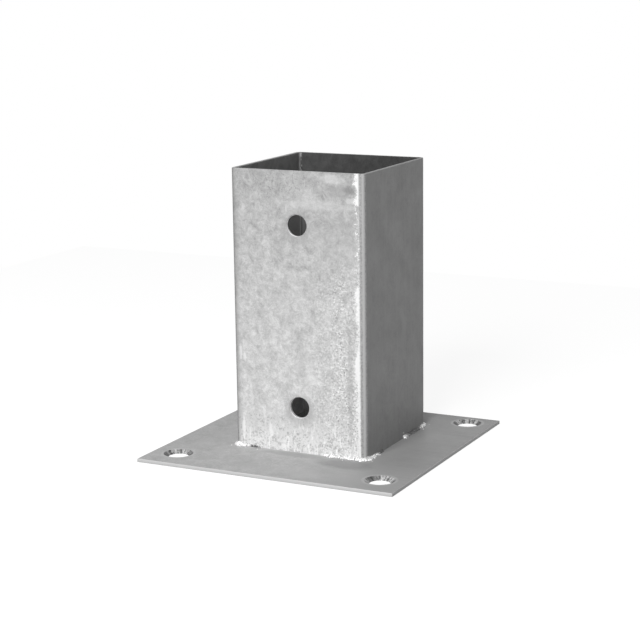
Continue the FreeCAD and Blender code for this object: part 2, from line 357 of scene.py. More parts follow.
def make_clouds_group():
    """Cloudy zinc, where the coat froze at different rates.

    Patches are soft and large, Mottle is as strong in its small spots as in its large ones,
    and Grain is fine.
    """
    group, given, result = new_group(
        "zinc_clouds", "ShaderNodeTree",
        [("Place", VECTOR, None), ("Patch Size", FLOAT, 8.0), ("Grain Size", FLOAT, 0.8)],
        [("Patches", FLOAT), ("Mottle", FLOAT), ("Grain", FLOAT)])
    patch_scale = add_math(group, "DIVIDE", 1.0, given["Patch Size"])
    grain_scale = add_math(group, "DIVIDE", 1.0, given["Grain Size"])
    mottle_scale = add_math(group, "MULTIPLY", patch_scale, 1.7)
    patches = add_noise(group, given["Place"], patch_scale, 3.0, 0.55, 0.6)
    mottle = add_noise(group, given["Place"], mottle_scale, 5.0, 0.95, 0.4)
    grain = add_noise(group, given["Place"], grain_scale, 2.0, 0.7)
    group.links.new(add_range(group, patches, 0.3, 0.7), result["Patches"])
    group.links.new(add_range(group, mottle, 0.35, 0.65), result["Mottle"])
    group.links.new(add_range(group, grain, 0.28, 0.72), result["Grain"])
    return group


def cover(tree, noise, share, low, high, smooth=False):
    """Where the noise is highest, over about this share of the surface, from 0 to 1."""
    edge = add_range(tree, share, 0.0, 1.0, 0.78, 0.26)
    above = add_math(tree, "SUBTRACT", noise, edge)
    return add_range(tree, above, low, high, smooth=smooth)


def make_flecks_group():
    """Scattered flecks. Share says how much of the surface they cover, from 0 to 1."""
    group, given, result = new_group(
        "flecks", "ShaderNodeTree",
        [("Place", VECTOR, None), ("Size", FLOAT, 0.6), ("Share", FLOAT, 0.3)],
        [("Mask", FLOAT)])
    scale = add_math(group, "DIVIDE", 1.0, given["Size"])
    noise = add_noise(group, given["Place"], scale, 2.5, 0.65, 0.3)
    group.links.new(cover(group, noise, given["Share"], -0.03, 0.05), result["Mask"])
    return group


def make_runs_group():
    """Runs: thin wavering streaks where the molten zinc drained off."""
    group, given, result = new_group(
        "zinc_runs", "ShaderNodeTree",
        [("Place", VECTOR, None), ("Width", FLOAT, 1.2), ("Length", FLOAT, 8.0),
         ("Share", FLOAT, 0.3)],
        [("Mask", FLOAT)])
    across = add_math(group, "DIVIDE", 1.0, given["Width"])
    along = add_math(group, "DIVIDE", 1.0, given["Length"])
    squeeze = add_node(group, "ShaderNodeCombineXYZ", {"X": across, "Y": across, "Z": along})
    drawn = add_vector(group, "MULTIPLY", given["Place"], squeeze.outputs[0])[0]
    noise = add_noise(group, drawn, 1.0, 1.5, 0.5, 0.8)
    group.links.new(cover(group, noise, given["Share"], -0.04, 0.08, smooth=True),
                    result["Mask"])
    return group


def make_band_group():
    """A band round one value of a measure, such as the strip along an edge."""
    group, given, result = new_group(
        "band", "ShaderNodeTree",
        [("Measure", FLOAT, 0.0), ("Middle", FLOAT, 0.0), ("Half Width", FLOAT, 1.0),
         ("Fade", FLOAT, 0.5)],
        [("Mask", FLOAT)])
    off = add_math(group, "SUBTRACT", given["Measure"], given["Middle"])
    off = add_math(group, "ABSOLUTE", off)
    gone = add_math(group, "ADD", given["Half Width"], given["Fade"])
    group.links.new(add_range(group, off, gone, given["Half Width"], smooth=True),
                    result["Mask"])
    return group


def make_blot_group():
    """One patch with a ragged edge, at a place on the surface."""
    group, given, result = new_group(
        "blot", "ShaderNodeTree",
        [("Place", VECTOR, None), ("Middle", VECTOR, (0, 0, 0)), ("Reach", VECTOR, (5, 5, 5)),
         ("Ragged", FLOAT, 0.5), ("Tear Size", FLOAT, 2.0)],
        [("Mask", FLOAT)])
    off = add_vector(group, "SUBTRACT", given["Place"], given["Middle"])[0]
    share = add_vector(group, "DIVIDE", off, given["Reach"])[0]
    length = add_vector(group, "LENGTH", share)["Value"]
    tear_scale = add_math(group, "DIVIDE", 1.0, given["Tear Size"])
    noise = add_noise(group, given["Place"], tear_scale, 3.0, 0.6)
    tear = add_math(group, "MULTIPLY", add_math(group, "SUBTRACT", noise, 0.5),
                    add_math(group, "MULTIPLY", given["Ragged"], 2.0))
    edge = add_math(group, "ADD", length, tear)
    group.links.new(add_range(group, edge, 1.05, 0.45, smooth=True), result["Mask"])
    return group


CLOUDS = make_clouds_group()
FLECKS = make_flecks_group()
RUNS = make_runs_group()
BAND = make_band_group()
BLOT = make_blot_group()


# Each group placed in a material's tree with its own values. All but the clouds are one mask.

def clouds(tree, place, patch, grain):
    return use_group(tree, CLOUDS, {"Place": place, "Patch Size": patch, "Grain Size": grain})


def flecks(tree, place, size, share):
    return use_group(tree, FLECKS, {"Place": place, "Size": size, "Share": share})["Mask"]


def runs(tree, place, width, length, share):
    return use_group(tree, RUNS, {"Place": place, "Width": width, "Length": length,
                                  "Share": share})["Mask"]


def band(tree, measure, middle, half_width, fade):
    return use_group(tree, BAND, {"Measure": measure, "Middle": middle,
                                  "Half Width": half_width, "Fade": fade})["Mask"]


def blot(tree, place, middle, reach, ragged=0.5, tear=2.0):
    return use_group(tree, BLOT, {"Place": place, "Middle": middle, "Reach": reach,
                                  "Ragged": ragged, "Tear Size": tear})["Mask"]


def times(tree, *masks):
    """Masks multiplied together: where all of them cover."""
    product = masks[0]
    for mask in masks[1:]:
        product = add_math(tree, "MULTIPLY", product, mask)
    return product


# ---------------------------------------------------------------- finishes


def new_finish(name, metal, shine):
    """A material, and its place in millimetres for the zinc's layers to read."""
    material = bpy.data.materials.new(name)
    material.use_nodes = True
    tree = material.node_tree
    shader = tree.nodes["Principled BSDF"]
    shader.inputs["Metallic"].default_value = metal
    shader.inputs["Specular IOR Level"].default_value = shine
    at = tree.nodes.new("ShaderNodeTexCoord").outputs["Object"]
    place = add_vector(tree, "SCALE", at, scale=1 / MM)[0]
    split = add_node(tree, "ShaderNodeSeparateXYZ", {0: place}).outputs
    return material, tree, shader, place, split


def finish_surface(tree, shader, colour, roughness, height, depth):
    """Link a finish's colour, roughness and relief to its shader."""
    bump = add_node(tree, "ShaderNodeBump",
                    {"Height": height, "Strength": 1.0, "Distance": depth * MM})
    tree.links.new(colour, shader.inputs["Base Color"])
    tree.links.new(roughness, shader.inputs["Roughness"])
    tree.links.new(bump.outputs["Normal"], shader.inputs["Normal"])


def distance_from(tree, place, centre):
    """How far each point of the surface lies from a centre."""
    return add_vector(tree, "DISTANCE", place, centre)["Value"]


def soften(tree, mask, share):
    """A mask that covers only so far, from 0 to 1."""
    return add_math(tree, "MULTIPLY", mask, share)


def frosted_wall(tree, place, split):
    """Colour of the front wall: mottled and marked, painted paler than the right wall as light,
    and paler still towards its foot.
    """
    x, z = split["X"], split["Z"]
    frost = clouds(tree, place, 9.0, 0.6)
    # Painted light: the wall paler towards its foot
    lower = add_range(tree, z, RIM, FLOOR_OF_SLEEVE)
    pale = add_layer(tree, grey(0.50), grey(0.78), lower)
    deep = add_layer(tree, grey(0.25), grey(0.44), lower)
    wall = add_layer(tree, deep, pale, frost["Mottle"])
    shade = add_math(tree, "SUBTRACT", 1.0, frost["Patches"])
    wall = add_layer(tree, wall, grey(0.30), soften(tree, shade, 0.16))
    specks = flecks(tree, place, 0.5, 0.40)
    wall = add_layer(tree, wall, grey(0.30), soften(tree, specks, 0.24))

    # Salt-and-pepper frost towards the lower right, in upright drifts
    drifts = runs(tree, place, 4.0, 26.0, 0.62)
    peppered = times(tree, add_range(tree, x, *PEPPER_ACROSS),
                     add_range(tree, z, *PEPPER_DOWN),
                     add_range(tree, drifts, 0.0, 1.0, 0.55, 1.0),
                     add_range(tree, z, *PEPPER_STRONGER, 0.70, 1.0))
    pepper = flecks(tree, place, 0.95, 0.40)
    salt = flecks(tree, place, 1.4, 0.46)
    wall = add_layer(tree, wall, grey(0.90), soften(tree, times(tree, salt, peppered), 0.64))
    wall = add_layer(tree, wall, grey(0.20), times(tree, pepper, peppered))

    # Ragged curtain of zinc at the foot, and thin runs above it
    hanging = add_math(tree, "ADD", z, soften(tree, frost["Mottle"], CURTAIN_HANG))
    curtain = add_range(tree, hanging, *CURTAIN_DOWN)
    crusted = add_layer(tree, grey(0.30), grey(0.88), flecks(tree, place, 1.2, 0.64))
    wall = add_layer(tree, wall, crusted, soften(tree, curtain, 0.36))
    drained = times(tree, runs(tree, place, 1.3, 7.0, 0.34), add_range(tree, z, *DRAINED_DOWN))
    wall = add_layer(tree, wall, grey(0.88), soften(tree, drained, 0.60))

    # Marks, and scratches under the rim
    for (mark_x, mark_z), (reach_x, reach_z), level, strength, ragged in FRONT_MARKS:
        mark = blot(tree, place, (mark_x, FRONT, mark_z), (reach_x, MARK_DEPTH, reach_z), ragged)
        wall = add_layer(tree, wall, grey(level), soften(tree, mark, strength))
    scratched = times(tree, flecks(tree, place, 0.8, 0.36), blot(tree, place, *SCRATCHES, 0.7))
    wall = add_layer(tree, wall, grey(0.20), soften(tree, scratched, 0.75))

    # Grey halo round each bolt hole, longer below it, and the wall of the hole painted pale:
    # painted light on a wall in shade
    for name in ("post_bolt_low", "post_bolt_high"):
        height = MOUNTS[name]["pos_m"][2] / MM
        below = distance_from(tree, place, (0.0, FRONT, height - HALO_DROP))
        halo = add_range(tree, below, *HALO_FADE, smooth=True)
        wall = add_layer(tree, wall, grey(0.30), soften(tree, halo, 0.42))
        away = distance_from(tree, place, (0.0, FRONT, height))
        bore = add_range(tree, away, *BORE_EDGE)
        wall = add_layer(tree, wall, grey(0.90), bore)
    return wall


def worn_strip(tree, place, split):
    """Where the zinc is scuffed bright beside the right bend.

    The strip is whole at the top, nearly gone below that, then ragged down to the foot.
    """
    x, z = split["X"], split["Z"]
    gone = band(tree, z, *STRIP_GONE)
    left = add_math(tree, "ADD", STRIP_LEFT, soften(tree, gone, STRIP_WIDTH))
    for stretch, shift in STRIP_SHIFTS:
        left = add_math(tree, "ADD", left, soften(tree, band(tree, z, *stretch), shift))
    wobble = add_noise(tree, place, 0.5, 5.0, 0.95)
    astray = soften(tree, add_math(tree, "SUBTRACT", wobble, 0.5), STRIP_TEAR)
    past = add_math(tree, "SUBTRACT", x, add_math(tree, "ADD", left, astray))
    strip = times(tree, add_range(tree, past, *STRIP_SOFT), add_range(tree, x, *STRIP_RIGHT))
    dots = times(tree, flecks(tree, place, 1.0, 0.34), gone, band(tree, x, *STRIP_DOTS))
    return add_math(tree, "MAXIMUM", strip, dots)


def inside_zinc_and_shade(tree, place, x, z):
    """Painted shade inside the sleeve, with painted light on the left wall and where little
    light gets.
    """
    from_left = add_math(tree, "ADD", x, INNER_HALF)
    to_left = add_range(tree, from_left, *LEFT_WALL)
    to_right = add_range(tree, x, -INNER_HALF, INNER_HALF)
    dull = clouds(tree, place, 7.0, 0.8)
    # Painted shade near the rim, darker towards the right, and painted light on the left wall
    zinc = add_layer(tree, grey(0.058), grey(0.025), to_right)
    zinc = add_layer(tree, zinc, grey(0.30), to_left)
    zinc = add_layer(tree, zinc, grey(0.16), soften(tree, dull["Mottle"], 0.26))
    zinc = add_layer(tree, zinc, grey(0.02), soften(tree, dull["Patches"], 0.40))
    seam = times(tree, flecks(tree, place, 1.5, 0.50), band(tree, from_left, *LEFT_SEAM),
                 add_range(tree, z, *SEAM_UP))
    zinc = add_layer(tree, zinc, grey(0.36), soften(tree, seam, 0.7))

    # Painted light deep down, where little light gets, paler still on the left wall
    deeper = add_range(tree, z, *DEEPER_DOWN)
    down = add_range(tree, z, *DEPTHS_DOWN)
    depths = add_layer(tree, grey(0.24), grey(0.95), down)
    depths_left = add_layer(tree, grey(0.42), grey(0.95), down)
    zinc = add_layer(tree, zinc, add_layer(tree, depths, depths_left, to_left), deeper)
    # Painted shade in the inner corners beside the left wall, deep down
    corner = times(tree, band(tree, from_left, *LEFT_CORNER_SHADE), deeper,
                   add_range(tree, z, *CORNER_SHADE_UP))
    zinc = add_layer(tree, zinc, grey(0.15), soften(tree, corner, 0.9))
    speckled = times(tree, flecks(tree, place, 0.8, 0.22), deeper)
    return add_layer(tree, zinc, grey(0.10), soften(tree, speckled, 0.6))


def make_sleeve_finish():
    """Hot-dip zinc on the sleeve: frosted and mottled in front, plainer round the sides."""
    material, tree, shader, place, split = new_finish(
        "galvanised_sleeve_finish", metal=0.25, shine=0.3)
    x, y, z = split["X"], split["Y"], split["Z"]

    # Plain zinc of the right wall, painted darker than the other walls as shade, and cloudier
    # zinc of the left and back walls
    zinc = clouds(tree, place, 14.0, 0.9)
    streaks = runs(tree, place, 2.5, 60.0, 0.5)
    plain = add_layer(tree, grey(0.262), grey(0.318), zinc["Mottle"])
    plain = add_layer(tree, plain, grey(0.31), times(tree, streaks, zinc["Grain"]))
    frost = clouds(tree, place, 9.0, 0.6)
    cloudy = add_layer(tree, grey(0.30), grey(0.66), frost["Mottle"])
    cloudy = add_layer(tree, cloudy, grey(0.36), soften(tree, zinc["Patches"], 0.5))
    from_back = add_math(tree, "SUBTRACT", SLEEVE_HIGH.y, y)
    from_left = add_math(tree, "SUBTRACT", x, SLEEVE_LOW.x)
    from_side = add_math(tree, "MINIMUM", from_back, from_left)
    plain = add_layer(tree, plain, cloudy, add_range(tree, from_side, *SIDE_FADE, smooth=True))

    from_front = add_math(tree, "SUBTRACT", y, FRONT)
    front = add_range(tree, from_front, *FRONT_FADE, smooth=True)
    wall = frosted_wall(tree, place, split)

    # Right bend: speckled zinc painted darker as shade, with painted light along the middle of
    # the bend
    across = add_math(tree, "SUBTRACT", x, BEND_START)
    inwards = add_math(tree, "SUBTRACT", FRONT + BEND, y)
    turned = add_math(tree, "DEGREES", add_math(tree, "ARCTAN2", across, inwards))
    bend_light = band(tree, turned, *BEND_PAINTED_LIGHT)
    bent = add_layer(tree, grey(0.21), grey(0.39), zinc["Grain"])
    bent = add_layer(tree, bent, grey(0.47), soften(tree, bend_light, 0.85))
    wall = add_layer(tree, wall, bent, add_range(tree, across, *BEND_EDGE, smooth=True))
    wall = add_layer(tree, wall, grey(0.76), worn_strip(tree, place, split))

    # Left bend: painted shade, darker towards the side
    dusky = add_range(tree, from_left, *LEFT_SHADE_FADE, smooth=True)
    wall = add_layer(tree, wall, grey(0.20), soften(tree, dusky, 0.55))
    edge = add_range(tree, from_left, *LEFT_EDGE_SHADE, smooth=True)
    wall = add_layer(tree, wall, grey(0.10), soften(tree, edge, 0.80))
    colour = add_layer(tree, plain, wall, front)

    from_middle = add_math(tree, "SUBTRACT", y, SLEEVE_MIDDLE)
    inside = times(tree, band(tree, x, 0.0, *INSIDE_REACH),
                   band(tree, from_middle, 0.0, *INSIDE_REACH))
    colour = add_layer(tree, colour, inside_zinc_and_shade(tree, place, x, z), inside)

    roughness = add_range(tree, zinc["Patches"], 0.0, 1.0, 0.62, 0.48)
    height = add_math(tree, "ADD", zinc["Patches"], soften(tree, zinc["Grain"], 0.25))
    finish_surface(tree, shader, colour, roughness, height, depth=0.06)
    return material


def torn_zinc_and_shade(tree, place, spoke):
    """Wall of an anchor hole: streaks down the cone, and painted shade at its left and right
    from the camera.
    """
    facing = add_vector(tree, "NORMALIZE", spoke)[0]
    around = add_vector(tree, "SCALE", facing, scale=SINK_RADIUS)[0]
    torn = add_math(tree, "ADD", soften(tree, add_noise(tree, around, 0.45, 2.0, 0.6), 0.6),
                    soften(tree, add_noise(tree, place, 0.9, 3.0, 0.7), 0.4))
    streaked = add_layer(tree, grey(0.05), grey(0.62), add_range(tree, torn, 0.43, 0.59))
    # Painted shade on the parts of the wall that lie left and right as seen from the camera
    sideways = add_vector(tree, "DOT_PRODUCT", facing, SIDEWAYS_SHADE)["Value"]
    shaded_tips = add_range(tree, add_math(tree, "ABSOLUTE", sideways), 0.80, 0.96)
    return add_layer(tree, streaked, grey(0.06), soften(tree, shaded_tips, 0.75))


def make_plate_finish():
    """Satin zinc on the plate, with the fine lines of the rolled sheet."""
    material, tree, shader, place, split = new_finish(
        "galvanised_plate_finish", metal=0.12, shine=0.22)
    x, y, z = split["X"], split["Y"], split["Z"]
    zinc = clouds(tree, place, 18.0, 0.7)
    drawn = add_vector(tree, "MULTIPLY", place, LINE_SQUEEZE)[0]
    lines = add_noise(tree, drawn, 1.0, 3.0, 0.6)
    # Painted shade: the plate darker to the right, and darker still to the right and behind
    rightwards = add_range(tree, x, *DARKER_RIGHT, smooth=True)
    backwards = add_range(tree, y, *DARKER_BACK, smooth=True)
    right = add_layer(tree, grey(0.37), grey(0.30), backwards)
    colour = add_layer(tree, grey(0.45), right, rightwards)
    colour = add_layer(tree, colour, grey(0.38), soften(tree, zinc["Mottle"], 0.35))
    colour = add_layer(tree, colour, grey(0.50), add_range(tree, lines, 0.45, 0.75, 0.0, 0.3))

    # Dapples over the left and the front, and patches
    dapples = clouds(tree, place, 9.0, 0.9)
    leftwards = add_range(tree, x, *DAPPLED_LEFT)
    dull = times(tree, dapples["Patches"], leftwards)
    colour = add_layer(tree, colour, grey(0.24), soften(tree, dull, 0.50))
    pale = times(tree, dapples["Mottle"], dapples["Grain"], leftwards)
    colour = add_layer(tree, colour, grey(0.68), soften(tree, pale, 0.62))
    for middle, reach, level, strength in PLATE_MARKS:
        mark = blot(tree, place, (*middle, PLATE_HIGH.z), (*reach, PATCH_DEPTH), 0.35, 9.0)
        colour = add_layer(tree, colour, grey(level), soften(tree, mark, strength))

    # Sheared edges: brighter zinc on the upper half
    aside = add_math(tree, "ABSOLUTE", x)
    from_edge = add_math(tree, "SUBTRACT", PLATE_HIGH.x, add_math(
        tree, "MAXIMUM", aside, add_math(tree, "ABSOLUTE", y)))
    sheared = add_layer(tree, grey(0.44), grey(0.52), add_range(tree, z, *SHEARED_UP))
    colour = add_layer(tree, colour, sheared, add_range(tree, from_edge, *EDGE_FADE))

    # Anchor holes: a speckled rim round a torn wall, with painted shade on two sides
    ahead = add_math(tree, "ABSOLUTE", add_math(tree, "SUBTRACT", y, ANCHOR_MIDDLE))
    spoke = add_node(tree, "ShaderNodeCombineXYZ",
                     {"X": add_math(tree, "SUBTRACT", aside, ANCHOR_REACH),
                      "Y": add_math(tree, "SUBTRACT", ahead, ANCHOR_REACH)}).outputs[0]
    away = add_vector(tree, "LENGTH", spoke)["Value"]
    rim = times(tree, band(tree, away, *SINK_RIM), zinc["Grain"])
    colour = add_layer(tree, colour, grey(0.55), soften(tree, rim, 0.8))
    sink = add_range(tree, away, *SINK_EDGE)
    colour = add_layer(tree, colour, torn_zinc_and_shade(tree, place, spoke), sink)

    roughness = add_range(tree, zinc["Patches"], 0.0, 1.0, 0.48, 0.60)
    height = add_math(tree, "ADD", lines, soften(tree, zinc["Grain"], 0.2))
    finish_surface(tree, shader, colour, roughness, height, depth=0.03)
    return material


def make_weld_finish():
    """Bright lumpy zinc over the weld metal, with dark pits and dull stretches partly painted as
    shade.
    """
    material, tree, shader, place, _ = new_finish(
        "galvanised_weld_finish", metal=0.75, shine=0.5)
    zinc = clouds(tree, place, 2.0, 0.4)
    colour = add_layer(tree, grey(0.58), grey(0.94), zinc["Patches"])
    pits = flecks(tree, place, 0.8, 0.36)
    colour = add_layer(tree, colour, grey(0.10), soften(tree, pits, 0.85))
    # Dark stretches: dull zinc, and on the right wall partly painted shade
    for middle, reach in DULL_AND_SHADED_WELDS:
        dull = blot(tree, place, middle, reach, 0.4)
        colour = add_layer(tree, colour, grey(0.05), soften(tree, dull, 0.9))
    roughness = add_range(tree, zinc["Mottle"], 0.0, 1.0, 0.30, 0.50)
    finish_surface(tree, shader, colour, roughness, zinc["Grain"], depth=0.10)
    return material


# ---------------------------------------------------------------- stitch welds

# Each bead: the CAD node that it stands for, its corner as the signs of X and Y, and how far
# in millimetres it runs from the bend along the front or back wall, and along the side wall.
# Then its girth on that wall, round the bend and on the side, the size of the drops at its
# ends and the number of spatter drops beside it.
Stitch = namedtuple("Stitch", "node corner wall_run side_run wall_girth bend_girth side_girth"
                    " drop spatter")
STITCHES = {
    "bead_front_left": Stitch("weld_front_left", (-1, -1), 13.0, 0.0, 0.55, 1.25, 1.25, 0.5, 5),
    "bead_front_right": Stitch("weld_front_right", (1, -1), 21.0, 17.0, 0.75, 1.0, 0.68, 0.4, 8),
    "bead_back_right": Stitch("weld_back_right", (1, 1), 0.0, 27.0, 0.9, 0.9, 0.9, 0.8, 4),
    "bead_back_left": Stitch("weld_back_left", (-1, 1), 13.0, 0.0, 0.8, 1.1, 1.1, 0.5, 5),
}
# How far the middle of a bead stands off plate and sleeve, in how many steps its line turns
# round a bend, and over which length it swells towards the bend
SEAM_STANDOFF = 0.55
BEND_STEPS = 6
SWELL_LENGTH = 4.0

# Ripples: how far each is out of line, its slant in radians, and its thickness along the bead
# as a share of their pitch
RIPPLE_STAGGER = 0.3
RIPPLE_SLANT = 0.35
RIPPLE_OVERLAP = 0.72

# How the ripples melt into one skin
MELT_DEPTH = 0.4
MELT_THRESHOLD = 0.1

# Spatter: how far from the seam on the plate, how high on the wall, the share of it that lies
# on the plate, how far it strays along the seam, and its least and largest scale
SPATTER_AWAY = (0.6, 4.0)
SPATTER_UP = (0.8, 3.2)
SPATTER_ON_PLATE = 0.6
SPATTER_SLIDE = 0.8
SPATTER_SCALE = (0.5, 1.5)


def seam_points(stitch):
    """A seam's line round its corner, against the clock from above, and its girth there."""
    sign_x, sign_y = stitch.corner
    bend_starts = {(1, -1): -90, (1, 1): 0, (-1, 1): 90, (-1, -1): 180}[stitch.corner]
    ends = [(stitch.wall_run, stitch.wall_girth), (stitch.side_run, stitch.side_girth)]
    if sign_x == sign_y:
        ends.reverse()
    (first_run, first_girth), (last_run, last_girth) = ends
    centre = Vector((sign_x * BEND_START,
                     SLEEVE_MIDDLE + sign_y * BEND_START,
                     FLOOR_OF_SLEEVE + SEAM_STANDOFF))

    def point_at(angle, beyond):
        outward = Vector((math.cos(angle), math.sin(angle), 0))
        onward = Vector((-math.sin(angle), math.cos(angle), 0))
        return centre + outward * (BEND + SEAM_STANDOFF) + onward * beyond

    start = math.radians(bend_starts)
    quarter_turn = math.radians(90)
    turns = [start + quarter_turn * step / BEND_STEPS for step in range(BEND_STEPS + 1)]
    if not first_run:
        turns = turns[BEND_STEPS // 2:]
    if not last_run:
        turns = turns[:BEND_STEPS // 2 + 1]
    line = [(point_at(turn, 0.0), stitch.bend_girth) for turn in turns]
    if first_run:
        line.insert(0, (point_at(start, -SWELL_LENGTH), first_girth))
        line.insert(0, (point_at(start, -first_run), first_girth))
    if last_run:
        line.append((point_at(start + quarter_turn, SWELL_LENGTH), last_girth))
        line.append((point_at(start + quarter_turn, last_run), last_girth))
    return line


def make_stitch_tree():
    """Ripples strung along a seam and melted into one bead, with spatter beside it."""
    group, given, result = new_group(
        "stitch_weld", "GeometryNodeTree",
        [("Seam", "NodeSocketGeometry", None), ("Ripple Pitch", FLOAT, 1.4),
         ("Bead Width", FLOAT, 1.6), ("Bead Thickness", FLOAT, 0.95),
         ("Unevenness", FLOAT, 0.25), ("End Drop", FLOAT, 1.0),
         ("Lump Scale", FLOAT, 0.9), ("Lump Height", FLOAT, 1.1),
         ("Spatter Count", "NodeSocketInt", 8), ("Spatter Size", FLOAT, 0.3),
         ("Skin Step", FLOAT, 0.14), ("Seed", "NodeSocketInt", 1),
         ("Finish", "NodeSocketMaterial", None)],
        [("Weld", "NodeSocketGeometry")])
    group.is_modifier = True

    def vector_math(operation, first, second=None, scale=None):
        return add_vector(group, operation, first, second, scale)[0]

    def random_number(low, high, shift):
        """A number for each point. The shift keeps it apart from the other random numbers."""
        seed = add_math(group, "ADD", given["Seed"], shift)
        return add_node(group, "FunctionNodeRandomValue",
                        {2: low, 3: high, "Seed": seed}, data_type="FLOAT").outputs[1]

    seam = add_node(group, "GeometryNodeMeshToCurve", {"Mesh": given["Seam"]}).outputs[0]

    # Ripples: flattened drops that lean against plate and sleeve
    string = add_node(group, "GeometryNodeCurveToPoints",
                      {"Curve": seam, "Length": given["Ripple Pitch"]}, mode="LENGTH")
    onward = string.outputs["Tangent"]
    outward = vector_math("CROSS_PRODUCT", onward, (0, 0, 1))
    girth = add_node(group, "GeometryNodeInputNamedAttribute", {"Name": "girth"},
                     data_type="FLOAT").outputs["Attribute"]
    # A thin ripple sits closer to the corner between plate and wall, and none is quite in line
    lift = add_math(group, "MULTIPLY", add_math(group, "SUBTRACT", girth, 1.0), SEAM_STANDOFF)
    aslant = vector_math("SCALE", vector_math("ADD", outward, (0, 0, 1)), scale=lift)
    stagger = random_number(-RIPPLE_STAGGER, RIPPLE_STAGGER, 7)
    astray = vector_math("SCALE", onward, scale=stagger)
    strung = add_node(group, "GeometryNodeSetPosition",
                      {"Geometry": string.outputs["Points"],
                       "Offset": vector_math("ADD", aslant, astray)})
    slope = vector_math("SUBTRACT", outward, (0, 0, 1))
    along = add_node(group, "FunctionNodeAlignRotationToVector", {"Vector": onward}, axis="Z")
    leaning = add_node(group, "FunctionNodeAlignRotationToVector",
                       {"Rotation": along.outputs[0], "Vector": slope},
                       axis="X", pivot_axis="Z")
    tipped = add_node(group, "FunctionNodeRotateRotation",
                      {"Rotation": leaning.outputs[0], "Rotate By": (0.0, RIPPLE_SLANT, 0.0)},
                      rotation_space="LOCAL")
    least = add_math(group, "SUBTRACT", 1.0, given["Unevenness"])
    most = add_math(group, "ADD", 1.0, given["Unevenness"])
    swell = random_number(least, most, 1)
    size = add_node(group, "ShaderNodeCombineXYZ",
                    {"X": given["Bead Width"], "Y": given["Bead Thickness"],
                     "Z": add_math(group, "MULTIPLY", given["Ripple Pitch"], RIPPLE_OVERLAP)})
    ripple = add_node(group, "GeometryNodeMeshIcoSphere", {"Radius": 1.0, "Subdivisions": 4})
    ripples = add_node(group, "GeometryNodeInstanceOnPoints",
                       {"Points": strung.outputs[0], "Instance": ripple.outputs[0],
                        "Rotation": tipped.outputs[0],
                        "Scale": vector_math("SCALE", size.outputs[0],
                                             scale=add_math(group, "MULTIPLY", swell, girth))})

    # Drops where the arc was struck and broken off
    ends = add_node(group, "GeometryNodeCurveEndpointSelection")
    drop = add_node(group, "GeometryNodeMeshIcoSphere",
                    {"Radius": given["End Drop"], "Subdivisions": 4})
    drops = add_node(group, "GeometryNodeInstanceOnPoints",
                     {"Points": seam, "Selection": ends.outputs[0],
                      "Instance": drop.outputs[0]})

    # Melt them together and make the skin uneven
    heap = group.nodes.new("GeometryNodeJoinGeometry")
    group.links.new(ripples.outputs[0], heap.inputs[0])
    group.links.new(drops.outputs[0], heap.inputs[0])
    solid = add_node(group, "GeometryNodeRealizeInstances", {"Geometry": heap.outputs[0]})
    melt = add_node(group, "GeometryNodeMeshToVolume",
                    {"Mesh": solid.outputs[0], "Voxel Size": given["Skin Step"],
                     "Interior Band Width": MELT_DEPTH}, resolution_mode="VOXEL_SIZE")
    skin = add_node(group, "GeometryNodeVolumeToMesh",
                    {"Volume": melt.outputs[0], "Voxel Size": given["Skin Step"],
                     "Threshold": MELT_THRESHOLD}, resolution_mode="VOXEL_SIZE")
    where = add_node(group, "GeometryNodeInputPosition").outputs[0]
    lumps = add_noise(group, where, given["Lump Scale"], 3.0, 0.75)
    facing = add_node(group, "GeometryNodeInputNormal").outputs[0]
    push = add_math(group, "MULTIPLY", add_math(group, "SUBTRACT", lumps, 0.5),
                    given["Lump Height"])
    uneven = add_node(group, "GeometryNodeSetPosition",
                      {"Geometry": skin.outputs[0],
                       "Offset": vector_math("SCALE", facing, scale=push)})

    # Spatter: small drops on the plate and low on the wall
    thrown = add_node(group, "GeometryNodeCurveToPoints",
                      {"Curve": seam, "Count": given["Spatter Count"]}, mode="COUNT")
    away = vector_math("CROSS_PRODUCT", thrown.outputs["Tangent"], (0, 0, 1))
    reach = random_number(*SPATTER_AWAY, 2)
    on_plate = vector_math("ADD", vector_math("SCALE", away, scale=reach),
                           (0.0, 0.0, -SEAM_STANDOFF))
    height = add_node(group, "ShaderNodeCombineXYZ", {"Z": random_number(*SPATTER_UP, 3)})
    on_wall = vector_math("ADD", vector_math("SCALE", away, scale=-SEAM_STANDOFF),
                          height.outputs[0])
    pick = add_math(group, "GREATER_THAN", random_number(0.0, 1.0, 4), SPATTER_ON_PLATE)
    landed = add_node(group, "ShaderNodeMix", {0: pick, 4: on_plate, 5: on_wall},
                      data_type="VECTOR").outputs[1]
    slide = vector_math("SCALE", thrown.outputs["Tangent"],
                        scale=random_number(-SPATTER_SLIDE, SPATTER_SLIDE, 5))
    scattered = add_node(group, "GeometryNodeSetPosition",
                         {"Geometry": thrown.outputs["Points"],
                          "Offset": vector_math("ADD", landed, slide)})
    bit = add_node(group, "GeometryNodeMeshIcoSphere",
                   {"Radius": given["Spatter Size"], "Subdivisions": 3})
    bits = add_node(group, "GeometryNodeInstanceOnPoints",
                    {"Points": scattered.outputs[0], "Instance": bit.outputs[0],
                     "Scale": random_number(*SPATTER_SCALE, 6)})

    whole = group.nodes.new("GeometryNodeJoinGeometry")
    group.links.new(uneven.outputs[0], whole.inputs[0])
    group.links.new(bits.outputs[0], whole.inputs[0])
    smooth = add_node(group, "GeometryNodeSetShadeSmooth", {"Geometry": whole.outputs[0]})
    metres = add_node(group, "GeometryNodeTransform",
                      {"Geometry": smooth.outputs[0], "Scale": (MM, MM, MM)})
    plain = add_node(group, "GeometryNodeRealizeInstances", {"Geometry": metres.outputs[0]})
    finished = add_node(group, "GeometryNodeSetMaterial",
                        {"Geometry": plain.outputs[0], "Material": given["Finish"]})
    group.links.new(finished.outputs[0], result["Weld"])
    return group


